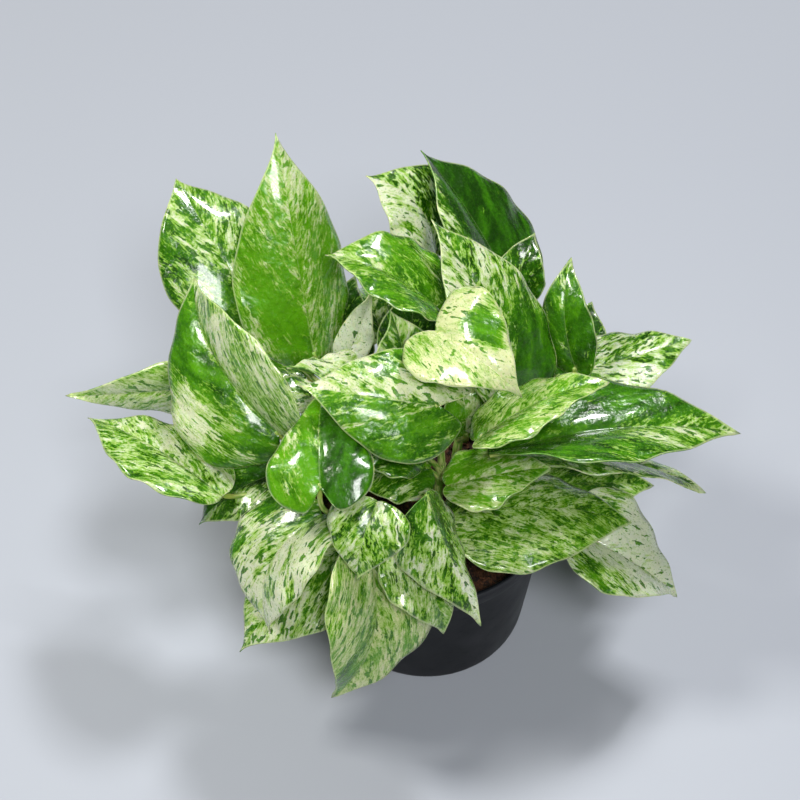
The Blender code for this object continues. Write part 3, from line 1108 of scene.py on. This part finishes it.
def plant() -> tuple[LeafyStem, ...]:
    """The twelve leafy stems, with the same leaves as the CAD ones.

    Returns:
        The stems, from the back left round the pot to its middle.
    """
    m = Marbling
    return (
        LeafyStem("stem_back_left", (-31, 24), (-48, 34, 128), (
            Blade((-90, 76, 149), (-131, 133, 193), 67, roll=-5, fold=4, arch=4, sway=-1, twist=12,
                  taper=0.9, rise=0.8, marbling=m(0.46, 0.46, patchy=0.8)),
            Blade((-94, 42, 133), (-189, 41, 123), 37, roll=-75, arch=2, sway=2, taper=1.3, rise=0.5,
                  marbling=m(0.66, 0.66, tone=Tone.FRESH, patchy=0.5)),
            Blade((-64, 66, 113), (-95, 108, 89), 52, arch=10, rise=0.3),
        )),
        LeafyStem("stem_left", (-41, 2), (-56, -4, 134), (
            Blade((-73, -4, 153), (-119, 70, 185), 82, roll=-52, fold=36, arch=14, sway=-1, lobe=0.09,
                  taper=1.25, rise=1, marbling=m(0.2, 0.66, tone=Tone.FRESH, patchy=0.8, patches=(
                  Patch(0.42, -0.75, 0.18, 0.4, 0.8), Patch(0.1, -0.7, 0.1, 0.4, 0.1),
                  Patch(0.7, -0.6, 0.15, 0.3, -0.4)))),
            Blade((-101, -25, 131), (-173, 25, 132), 52, roll=20, fold=15, arch=4, lobe=0.02, rise=0.4,
                  crook=(8, 4, -18), marbling=m(0.54, 0.72, patchy=0.8)),
            Blade((-75, -6, 124), (-116, -26, 109), 36, rise=0.4,
                  marbling=m(0.45, 0.1, tone=Tone.DARK)),
            Blade((-51, 7, 164), (-80, 9, 172), 22, fold=10, arch=3, rise=0.9, marbling=m(0.7, 0.6)),
        )),
        LeafyStem("stem_inner_left", (-17, 17), (-32, 30, 130), (
            Blade((-58, 48, 149), (-74, 113, 241), 64, roll=16, fold=-12, sway=-3, twist=-14, taper=1.1,
                  rise=0.8, marbling=m(0.36, 0.46, tip=0.3, tone=Tone.BRIGHT, patchy=0.6, patches=(
                  Patch(0.2, -0.85, 0.12, 0.3, 0.3), Patch(0.3, -0.4, 0.2, 0.35, -0.25)))),
            Blade((-49, 68, 119), (-39, 92, 161), 42, rise=0.5, marbling=m(0.15, 0.2, tone=Tone.DARK)),
            Blade((-43, 32, 162), (-30, 34, 210), 19, roll=50, fold=20, arch=-6, taper=1.2, rise=0.9,
                  marbling=m(1.2, 1.2, tone=Tone.WHITE)),
            Blade((-35, 18, 180), (-66, 1, 203), 28, roll=15, fold=30, arch=-4, sway=-3, taper=1.2,
                  rise=1, marbling=m(0.4, 0.9)),
        )),
        LeafyStem("stem_back", (-8, 42), (-6, 58, 130), (
            # This leaf's right half is painted darker, as shade.
            Blade((5, 108, 160), (-30, 120, 207), 62, roll=-6, fold=18, arch=8, sway=5, rise=1,
                  marbling=m(0.9, 0.4, tip=0.2, shade_right=0.3)),
            Blade((-24, 76, 132), (-40, 134, 106), 60, arch=10, rise=0.5),
            Blade((12, 86, 134), (18, 142, 116), 56, arch=10, rise=0.7,
                  marbling=m(0.15, 0.3, tone=Tone.BRIGHT)),
            Blade((-9, 56, 138), (-7, 74, 174), 36, rise=0.95, marbling=m(0.05, 0.05, tone=Tone.DEEP)),
        )),
        LeafyStem("stem_back_right", (20, 40), (32, 58, 132), (
            Blade((46, 97, 143), (-2, 136, 210), 69, roll=10, fold=25, arch=7, sway=-4, twist=15,
                  rise=0.9, marbling=m(-0.05, -0.15, tone=Tone.DARK, patches=(
                  Patch(0.5, -0.9, 0.6, 0.3, 0.6),))),
            Blade((45, 78, 160), (53, 96, 189), 28, rise=1, marbling=m(0.25, 0.25, tone=Tone.DARK)),
            Blade((79, 73, 112), (86, 89, 144), 40, marbling=m(0.3, 0.2, tone=Tone.DARK)),
            Blade((52, 88, 110), (76, 124, 88), 50, arch=8, rise=0.3),
        )),
        LeafyStem("stem_right_back", (45, 27), (57, 32, 126), (
            Blade((65, 45, 138), (135, 61, 150), 50, roll=-5, fold=8, arch=2, sway=4, rise=0.7,
                  marbling=m(0.62, 0.66, tone=Tone.COOL, patches=(Patch(0.2, 0.0, 0.15, 0.6, -0.5),))),
            Blade((75, 41, 146), (70, 78, 190), 30, roll=-30, fold=12, arch=8, sway=-2, twist=12,
                  rise=1, marbling=m(0.15, 0.0, patches=(Patch(0.95, 0.0, 0.15, 1.0, 0.5),))),
            Blade((72, 40, 110), (112, 62, 92), 42, rise=0.3),
        )),
        LeafyStem("stem_right", (34, 15), (31, 13, 122), (
            Blade((28, -17, 155), (153, 3, 148), 75, roll=-14, fold=33, arch=8, twist=36, lobe=0,
                  taper=1.2, rise=1, crook=(2, 12, -10),
                  marbling=m(0.1, 0.2, tip=0.3, patchy=0.7, patches=(
                  Patch(0.75, 0.45, 0.22, 0.45, 0.35),))),
            Blade((43, 5, 128), (139, -12, 119), 46, roll=-34, marbling=m(0.6, 0.6)),
            Blade((22, -18, 168), (83, 3, 188), 42, roll=-20, fold=18, arch=5, twist=5, rise=1,
                  crook=(-2, 16, -12), marbling=m(0.52, 0.5, tone=Tone.YELLOWED, patchy=0.5)),
        )),
        LeafyStem("stem_right_front", (26, -32), (30, -34, 110), (
            Blade((12, -30, 122), (101, -27, 113), 67, roll=-5, fold=0, arch=3, sway=-4, twist=-5,
                  rise=0.9, marbling=m(0.46, 0.52, patchy=0.5)),
            Blade((68, -21, 99), (130, -42, 65), 65, roll=2, fold=33, arch=10, sway=4, twist=-14,
                  lobe=0, taper=1.4, rise=0.5, crook=(-10, 0, 4),
                  marbling=m(1.1, 1.1, tone=Tone.WHITE, patches=(Patch(0.3, 0.75, 0.25, 0.4, -0.6),
                  Patch(0.25, -0.6, 0.15, 0.4, -0.5)))),
            Blade((38, -1, 103), (119, 10, 92), 46, arch=2, rise=0.7,
                  marbling=m(0.42, 0.42, patchy=0.5, patches=(Patch(0.5, -1.0, 0.6, 0.15, 0.5),))),
            Blade((8, -23, 137), (58, -17, 146), 41, roll=-8, arch=3, sway=2, twist=-6, lobe=0.06,
                  rise=1, crook=(12, 4, -14), marbling=m(0.52, 0.52, tone=Tone.BRIGHT, patchy=0.7)),
        )),
        LeafyStem("stem_front", (-2, -43), (-8, -50, 122), (
            Blade((-2, -47, 164), (26, -84, 107), 42, roll=-14, fold=-24, arch=0, sway=2, twist=8,
                  lobe=0, taper=1.4, rise=1,
                  marbling=m(0.66, 0.56, base=-0.3, tone=Tone.COOL, patchy=0.8, patches=(
                  Patch(0.75, -0.2, 0.2, 0.5, 0.35), Patch(0.45, -0.2, 0.3, 0.2, -0.35)))),
            Blade((-25, -50, 163), (-35, -77, 136), 41, fold=10, arch=5, sway=1, lobe=0.03, taper=1.35,
                  rise=1, marbling=m(0.55, 0.55, tone=Tone.COOL, patchy=0.7)),
            Blade((-15, -52, 134), (8, -83, 98), 43, roll=-10, fold=10, taper=1.1, rise=0.7,
                  marbling=m(0.55, 0.55, patchy=0.55)),
            Blade((-30, -53, 128), (-47, -100, 62), 74, roll=-50, fold=30, arch=12, sway=-6, taper=1.15,
                  rise=0.5, marbling=m(0.7, 0.64, tone=Tone.YELLOWED, patchy=0.7, patches=(
                  Patch(0.85, 0.6, 0.15, 0.5, -0.45),))),
        )),
        LeafyStem("stem_front_left", (-31, -31), (-40, -38, 124), (
            Blade((-52, -42, 140), (-79, -82, 98), 62, roll=20, fold=24, arch=12, sway=6, rise=0.8,
                  marbling=m(0.85, 0.85, base=-0.55, tip=0.15, patches=(
                  Patch(0.55, 0.85, 0.12, 0.25, -0.55), Patch(0.25, 0.7, 0.14, 0.5, -0.35)))),
            Blade((-42, -37, 106), (-95, -80, 76), 60, fold=12, taper=1.15, rise=0.3,
                  marbling=m(0.62, 0.64)),
            # This leaf's right half is painted darker, as shade.
            Blade((-51, -49, 172), (-51, 9, 174), 51, roll=-9, fold=9, arch=8, lobe=0.19, taper=1.65,
                  rise=1, bow=-4, marbling=m(0.28, -0.15, tone=Tone.BRIGHT, shade_right=0.6, patches=(
                  Patch(0.5, -0.8, 0.2, 0.3, 0.45), Patch(0.65, 0.02, 0.3, 0.1, 0.5)))),
        )),
        LeafyStem("stem_centre", (4, -10), (6, -8, 134), (
            Blade((4, -13, 187), (-61, -8, 197), 56, roll=-24, fold=2, arch=5, sway=-2, twist=8,
                  lobe=0.24, taper=1.1, rise=1, crook=(4, 14, -14),
                  marbling=m(0.3, 0.74, tip=0.35, tone=Tone.FRESH, patches=(
                  Patch(0.5, 0.8, 0.12, 0.25, -0.6), Patch(0.25, 0.4, 0.12, 0.3, -0.35)))),
            Blade((2, 20, 202), (42, -11, 193), 62, roll=9, fold=30, arch=10, sway=3, twist=-5,
                  lobe=0.1, taper=1.4, rise=1,
                  marbling=m(1.0, 0.98, tone=Tone.YELLOWED, patchy=0.7, patches=(
                  Patch(0.5, -0.6, 0.2, 0.36, -1.05), Patch(0.15, 0.5, 0.2, 0.5, -0.25)))),
            Blade((-3, -21, 160), (-37, -12, 165), 44, rise=0.8, crook=(2, 6, -12),
                  marbling=m(0.35, 0.35, tone=Tone.COOL)),
            # Less cream at this leaf's base: painted shade under the leaf above it.
            Blade((0, -14, 139), (-38, -21, 136), 42, marbling=m(0.5, 0.5, base=-0.5)),
        )),
        LeafyStem("stem_inner_right", (14, 16), (18, 26, 136), (
            Blade((3, 46, 190), (-49, 58, 216), 59, roll=9, fold=30, sway=-1, twist=-5, rise=1,
                  marbling=m(0.34, 0.36, tip=0.3, tone=Tone.FRESH, patchy=0.55)),
            Blade((47, 24, 142), (2, 73, 223), 62, roll=5, fold=22, arch=8, twist=8, rise=0.7,
                  marbling=m(0.74, 0.6, patches=(Patch(0.25, 0.4, 0.3, 0.6, -0.75),
                  Patch(0.1, 0.0, 0.2, 0.8, -0.5)))),
            Blade((-15, 20, 170), (-18, 25, 209), 34, rise=0.9, marbling=m(0.5, 0.5)),
            Blade((18, 10, 134), (13, 23, 165), 26, rise=0.5, marbling=m(0.5, 0.5, tone=Tone.BRIGHT)),
            Blade((24, 21, 135), (37, 43, 143), 24, rise=0.95, marbling=m(0.0, 0.0, tone=Tone.DEEP)),
        )),
    )


@dataclass
class NurseryPot:
    """The thin-walled pot: a tapered wall, a stepped rim band and a drained floor."""

    height: float = 98
    rim_radius: float = 65
    base_radius: float = 55
    wall: float = 1.5
    floor: float = 2
    rim_band: float = 13
    band_step: float = 2
    edge: float = 0.8
    sides: int = 144
    drain_holes: int = 8
    drain_radius: float = 4
    drain_ring: float = 41

    def wall_radius(self, height: float) -> float:
        """Outer radius of the tapered wall below the rim band."""
        top = self.rim_radius - self.band_step - 1
        return self.base_radius + (top - self.base_radius) * height / (self.height - self.rim_band)

    def profile(self) -> list[tuple[float, float]]:
        """The pot's outline, from under its floor up, over the rim and down inside.

        Returns:
            The (radius, height) points.
        """
        shoulder = self.height - self.rim_band
        inside = self.rim_radius - self.wall
        e = self.edge
        outer = [
            (self.base_radius - 8, 0.0),
            (self.base_radius - 1.6 * e, 0.0),
            (self.base_radius - 0.7 * e, 0.25 * e),
            (self.wall_radius(e) - 0.1, e),
            *[(self.wall_radius(h), h) for h in (2.5, 10, 25, 40, 55, 70, shoulder - 2)],
            (self.wall_radius(shoulder), shoulder - 0.4),
            (self.wall_radius(shoulder) + 0.25, shoulder),
            (self.rim_radius - 2.0 * e, shoulder),
            (self.rim_radius - 1.2 * e, shoulder + 0.3 * e),
            (self.rim_radius - 0.9 * e, shoulder + e),
            (self.rim_radius - 0.6 * e, self.height - 6),
            (self.rim_radius - 0.45 * e, self.height - 2.4),
            (self.rim_radius - 0.1 * e, self.height - 1.9),
            (self.rim_radius, self.height - 1.3),
            (self.rim_radius - 0.1 * e, self.height - 0.4),
            (self.rim_radius - 0.6 * e, self.height),
        ]
        inner = [
            (inside + 0.6 * e, self.height),
            (inside + 0.1 * e, self.height - 0.4),
            (inside, self.height - 1.2),
            (inside - 0.5 * e, shoulder + 5),
            (inside - e, shoulder + self.band_step + 0.3),
            (inside - e - 0.4, shoulder + self.band_step),
            (self.wall_radius(shoulder) - self.wall + 0.2, shoulder + 0.2),
            (self.wall_radius(shoulder) - self.wall, shoulder - 0.6),
            (self.wall_radius(40) - self.wall, 40),
            (self.wall_radius(self.floor + 1) - self.wall, self.floor + 1),
            (self.wall_radius(self.floor) - self.wall - 1, self.floor),
        ]
        return outer + inner

    def build(self) -> bpy.types.Object:
        """Draws the wall ring by ring from a circle, closes the floor and cuts the drain holes.

        Returns:
            The pot's object.
        """
        obj = ring_stack("pot", self.profile(), self.sides)
        deselect()
        cutters = []
        for i in range(self.drain_holes):
            turn = 2 * pi * (i + 0.5) / self.drain_holes
            bpy.ops.mesh.primitive_cylinder_add(
                vertices=32,
                radius=self.drain_radius * MM,
                depth=20 * MM,
                location=Vector((cos(turn), sin(turn), 0)) * self.drain_ring * MM,
            )
            cutters.append(bpy.context.object)
        cutter = joined("drain_cutter", cutters)
        holes = obj.modifiers.new("Drain holes", "BOOLEAN")
        holes.operation = "DIFFERENCE"
        holes.object = cutter
        apply_modifiers(obj)
        bpy.data.objects.remove(cutter)
        take(obj)
        bpy.ops.object.shade_smooth_by_angle(angle=radians(40))
        return obj

    def dress(self, obj: bpy.types.Object) -> None:
        """Gives the pot its finish and stands it for its node."""
        obj.data.materials.append(MouldedPotFinish().make())
        hand_in(obj, "nursery_pot")


def ring_stack(name: str, rings: list[tuple[float, float]], sides: int) -> bpy.types.Object:
    """A closed round body, drawn up from a circle by extruding and resizing its edge.

    Args:
        name: The object's name.
        rings: The (radius, height) of each ring, in millimetres.
        sides: How many points a ring has.

    Returns:
        The body, with its first and last rings filled.
    """
    radius, height = rings[0]
    deselect()
    bpy.ops.mesh.primitive_circle_add(
        vertices=sides, radius=radius * MM, location=(0, 0, height * MM), fill_type="NGON"
    )
    obj = bpy.context.object
    obj.name = name
    settle(obj)
    bpy.ops.object.mode_set(mode="EDIT")
    bpy.ops.mesh.select_all(action="SELECT")
    bpy.ops.mesh.delete(type="ONLY_FACE")
    bpy.ops.mesh.select_all(action="SELECT")
    for (r0, z0), (r1, z1) in zip(rings, rings[1:]):
        bpy.ops.mesh.extrude_edges_move(TRANSFORM_OT_translate={"value": (0, 0, (z1 - z0) * MM)})
        bpy.ops.transform.resize(value=(r1 / r0, r1 / r0, 1), center_override=(0, 0, z1 * MM))
    bpy.ops.mesh.edge_face_add()
    bpy.ops.mesh.select_all(action="DESELECT")
    bpy.ops.mesh.select_non_manifold()
    bpy.ops.mesh.edge_face_add()
    bpy.ops.mesh.select_all(action="SELECT")
    bpy.ops.mesh.normals_make_consistent(inside=False)
    bpy.ops.object.mode_set(mode="OBJECT")
    return obj


@dataclass(frozen=True)
class Litter:
    """Loose bits on the mix: how many, their smallest and largest size, and how flat they lie.

    flatness runs from 0, where a bit lies flat on the top, to 1, where it may lie any way.
    """

    count: int
    sizes: tuple[float, float]
    flatness: float


@dataclass
class PottingMix:
    """The mix that fills the pot: an uneven top with crumbs, bark chips and coir fibres on it."""

    level: float = 88
    crown: float = 1.5
    top_radius: float = 62.4
    shoulder: tuple[float, float] = (60.2, 85.0)
    bottom: tuple[float, float] = (53.4, 2.3)
    sides: int = 120
    rings: int = 26
    lump_mm: float = 9
    crumbs: Litter = Litter(620, (1.0, 4.2), 1.0)
    chips: Litter = Litter(150, (2.0, 5.5), 0.25)
    fibres: Litter = Litter(130, (6.0, 17.0), 0.08)
    seed: int = 7

    def surface_height(self, x: float, y: float) -> float:
        """The top's height at a place.

        Args:
            x: The place across, in millimetres.
            y: The place to the back.

        Returns:
            The height, in millimetres.
        """
        off = (x * x + y * y) ** 0.5 / self.top_radius
        spot = Vector((x / self.lump_mm, y / self.lump_mm, 3.1))
        rough = noise.fractal(spot, 0.9, 2.1, 4) * 1.1
        return self.level + self.crown * (1 - off * off) + rough * min(1.0, (1 - off) * 8)

    def build_bed(self) -> bpy.types.Object:
        """The body of the mix, with its top roughened.

        Returns:
            The bed's object.
        """
        rings = [self.bottom, self.shoulder, (self.top_radius, self.level - 1.0)]
        rings += [(self.top_radius * (1 - i / self.rings), self.level) for i in range(self.rings)]
        bed = ring_stack("bed", rings, self.sides)
        mesh = bed.data
        for vertex in mesh.vertices:
            if vertex.co.z > (self.level - 0.1) * MM:
                vertex.co.z = self.surface_height(vertex.co.x / MM, vertex.co.y / MM) * MM
        take(bed)
        bpy.ops.object.shade_smooth()
        return bed

    def scatter(
        self, model: bpy.types.Object, litter: Litter, rng: np.random.Generator
    ) -> list[bpy.types.Object]:
        """Copies a small model over the top.

        Args:
            model: The model, about 1 mm across.
            litter: How many copies there are, and how they lie.
            rng: The random generator.

        Returns:
            The copies.
        """
        small, large = litter.sizes
        tip = 0.5 + 2.4 * litter.flatness
        copies = []
        for _ in range(litter.count):
            off = (self.top_radius - 1.5) * rng.random() ** 0.5
            turn = rng.random() * 2 * pi
            x, y = off * cos(turn), off * sin(turn)
            size = small + (large - small) * rng.random() ** 2
            copy = model.copy()
            copy.data = model.data.copy()
            bpy.context.scene.collection.objects.link(copy)
            height = self.surface_height(x, y) + size * 0.2 * litter.flatness
            copy.location = Vector((x, y, height)) * MM
            tilts = [tip * (rng.random() - 0.5) for _ in range(2)]
            copy.rotation_euler = (*tilts, rng.random() * 6.28)
            copy.scale = [size * (0.7 + 0.6 * rng.random()) for _ in range(3)]
            copies.append(copy)
        bpy.data.objects.remove(model)
        return copies

    def crumb(self, rng: np.random.Generator) -> bpy.types.Object:
        """A lump of peat: a coarse sphere with its points pushed about.

        Args:
            rng: The random generator.

        Returns:
            The model, about 1 mm across.
        """
        deselect()
        bpy.ops.mesh.primitive_ico_sphere_add(subdivisions=1, radius=0.5 * MM)
        obj = bpy.context.object
        for vertex in obj.data.vertices:
            vertex.co *= 0.7 + 0.6 * rng.random()
        return obj

    def chip(self) -> bpy.types.Object:
        """A chip of bark: a flat bevelled block, longer than it is wide.

        Returns:
            The model, about 1 mm across.
        """
        deselect()
        bpy.ops.mesh.primitive_cube_add(size=1 * MM)
        obj = bpy.context.object
        obj.scale = (1.5, 0.7, 0.28)
        settle(obj)
        bevel = obj.modifiers.new("Broken edge", "BEVEL")
        bevel.width = 0.12 * MM
        bevel.segments = 1
        apply_modifiers(obj)
        return obj

    def fibre(self) -> bpy.types.Object:
        """A strand of coir: a thin bent four-sided rod.

        Returns:
            The model, 1 mm long.
        """
        deselect()
        bpy.ops.mesh.primitive_cylinder_add(
            vertices=4, radius=0.028 * MM, depth=1 * MM, rotation=(0, pi / 2, 0)
        )
        obj = bpy.context.object
        settle(obj)
        bpy.ops.object.mode_set(mode="EDIT")
        bpy.ops.mesh.select_all(action="SELECT")
        bpy.ops.mesh.subdivide(number_cuts=3)
        bpy.ops.object.mode_set(mode="OBJECT")
        for vertex in obj.data.vertices:
            vertex.co.z += 0.16 * MM * cos(vertex.co.x / MM * pi)
            vertex.co.y += 0.09 * MM * sin(vertex.co.x / MM * 5)
        return obj

    def build(self) -> bpy.types.Object:
        """Builds the bed and scatters its crumbs, chips and fibres.

        Returns:
            The mix as one object.
        """
        rng = np.random.default_rng(self.seed)
        pieces = [self.build_bed()]
        pieces += self.scatter(self.crumb(rng), self.crumbs, rng)
        pieces += self.scatter(self.chip(), self.chips, rng)
        pieces += self.scatter(self.fibre(), self.fibres, rng)
        return joined("coir_mix", pieces)

    def dress(self, obj: bpy.types.Object) -> None:
        """Gives the mix its finish and stands it for its node."""
        obj.data.materials.append(CoirMixFinish().make())
        hand_in(obj, "potting_mix")


@dataclass(frozen=True)
class Lamp:
    """A square soft box: where it hangs and its side, in metres, its power and its colour."""

    place: tuple[float, float, float]
    size: float
    watts: float
    colour: str = "FFFFFF"


@dataclass
class Studio:
    """A plain pale floor, soft lamps and a camera that looks down as the photograph does."""

    target: tuple[float, float, float] = (-14.6, 19.4, 150)
    distance: float = 740.6
    elevation: float = 52
    view_angle: float = 30
    floor_size: float = 12
    floor_colour: str = "B4B9C3"
    sky_colour: str = "E4E7EA"
    sky_strength: float = 0.07
    sky_shown: float = 0.62
    glow_reach: tuple[float, float] = (0.25, 2.0)
    aim: tuple[float, float, float] = (0, 0, 0.13)
    lamps: tuple[Lamp, ...] = (
        Lamp((0.3, 0.55, 1.35), 0.22, 11.5),
        Lamp((-0.7, 0.1, 1.15), 0.25, 8.5, "FFFDF5"),
        Lamp((0.15, -0.7, 1.2), 0.35, 9.5),
    )

    def build_camera(self) -> None:
        """The camera, as far back, as high and as narrow as the photograph's."""
        tilt = radians(self.elevation)
        back = Vector((0, -cos(tilt), sin(tilt)))
        deselect()
        bpy.ops.object.camera_add(
            location=(Vector(self.target) + back * self.distance) * MM,
            rotation=(pi / 2 - tilt, 0, 0),
        )
        camera = bpy.context.object
        camera.data.sensor_width = 36
        camera.data.lens = 18 / tan(radians(self.view_angle / 2))
        camera.data.clip_start = 0.01
        bpy.context.scene.camera = camera

    def build_floor(self) -> None:
        """The pale floor, just under the pot's base. It glows far off, where the lamps don't reach."""
        f = new_finish("pale studio floor")
        place = f.add("TexCoord", {}, "Object")
        away = f.add("VectorMath", {"operation": "LENGTH", 0: place}, "Value")
        low, high = self.glow_reach
        far = {**SMOOTH, "Value": away, "From Min": low, "From Max": high}
        glow = f.add("MapRange", {**far, "To Max": self.sky_shown})
        f.set_shader(Base_Color=self.floor_colour, Roughness=0.55, IOR=1.45)
        f.set_shader(Emission_Color=self.sky_colour, Emission_Strength=glow)
        deselect()
        bpy.ops.mesh.primitive_plane_add(size=self.floor_size, location=(0, 0, -0.0003))
        floor = bpy.context.object
        floor.name = "studio_floor"
        floor.data.materials.append(f.owner)

    def build_lamps(self) -> None:
        """The lamps, all turned to the plant: one high behind it, one to its left and one in front."""
        for lamp in self.lamps:
            deselect()
            aim = Vector(self.aim) - Vector(lamp.place)
            turn = aim.to_track_quat("-Z", "Y").to_euler()
            bpy.ops.object.light_add(type="AREA", location=lamp.place, rotation=turn)
            light = bpy.context.object.data
            light.size = lamp.size
            light.energy = lamp.watts
            light.color = linear(lamp.colour)[:3]

    def build_sky(self) -> None:
        """A weak sky all round, which the camera sees as the far floor's colour."""
        world = bpy.data.worlds.new("soft studio sky")
        sky = Shading(world, "Background")
        seen = sky.add("LightPath", {}, "Is Camera Ray")
        levels = {"Value": seen, "To Min": self.sky_strength, "To Max": self.sky_shown}
        sky.set_shader(Color=self.sky_colour, Strength=sky.add("MapRange", levels))
        bpy.context.scene.world = world

    def build(self) -> None:
        """Sets up the camera, the floor, the lamps, the sky and plain colour handling."""
        self.build_camera()
        self.build_floor()
        self.build_lamps()
        self.build_sky()
        view = bpy.context.scene.view_settings
        view.view_transform = "Standard"
        view.look = "None"


def main() -> None:
    """Builds the studio, the pot, the mix and the twelve leafy stems."""
    logging.basicConfig(level=logging.INFO, format="%(message)s")
    Studio().build()
    pot = NurseryPot()
    pot.dress(pot.build())
    mix = PottingMix()
    mix.dress(mix.build())
    finishes = [WaxyLeafFinish().make(), LeafUndersideFinish().make(), StalkFinish().make()]
    for index, stem in enumerate(plant()):
        stem.build(index, finishes)


if __name__ == "__main__":
    main()
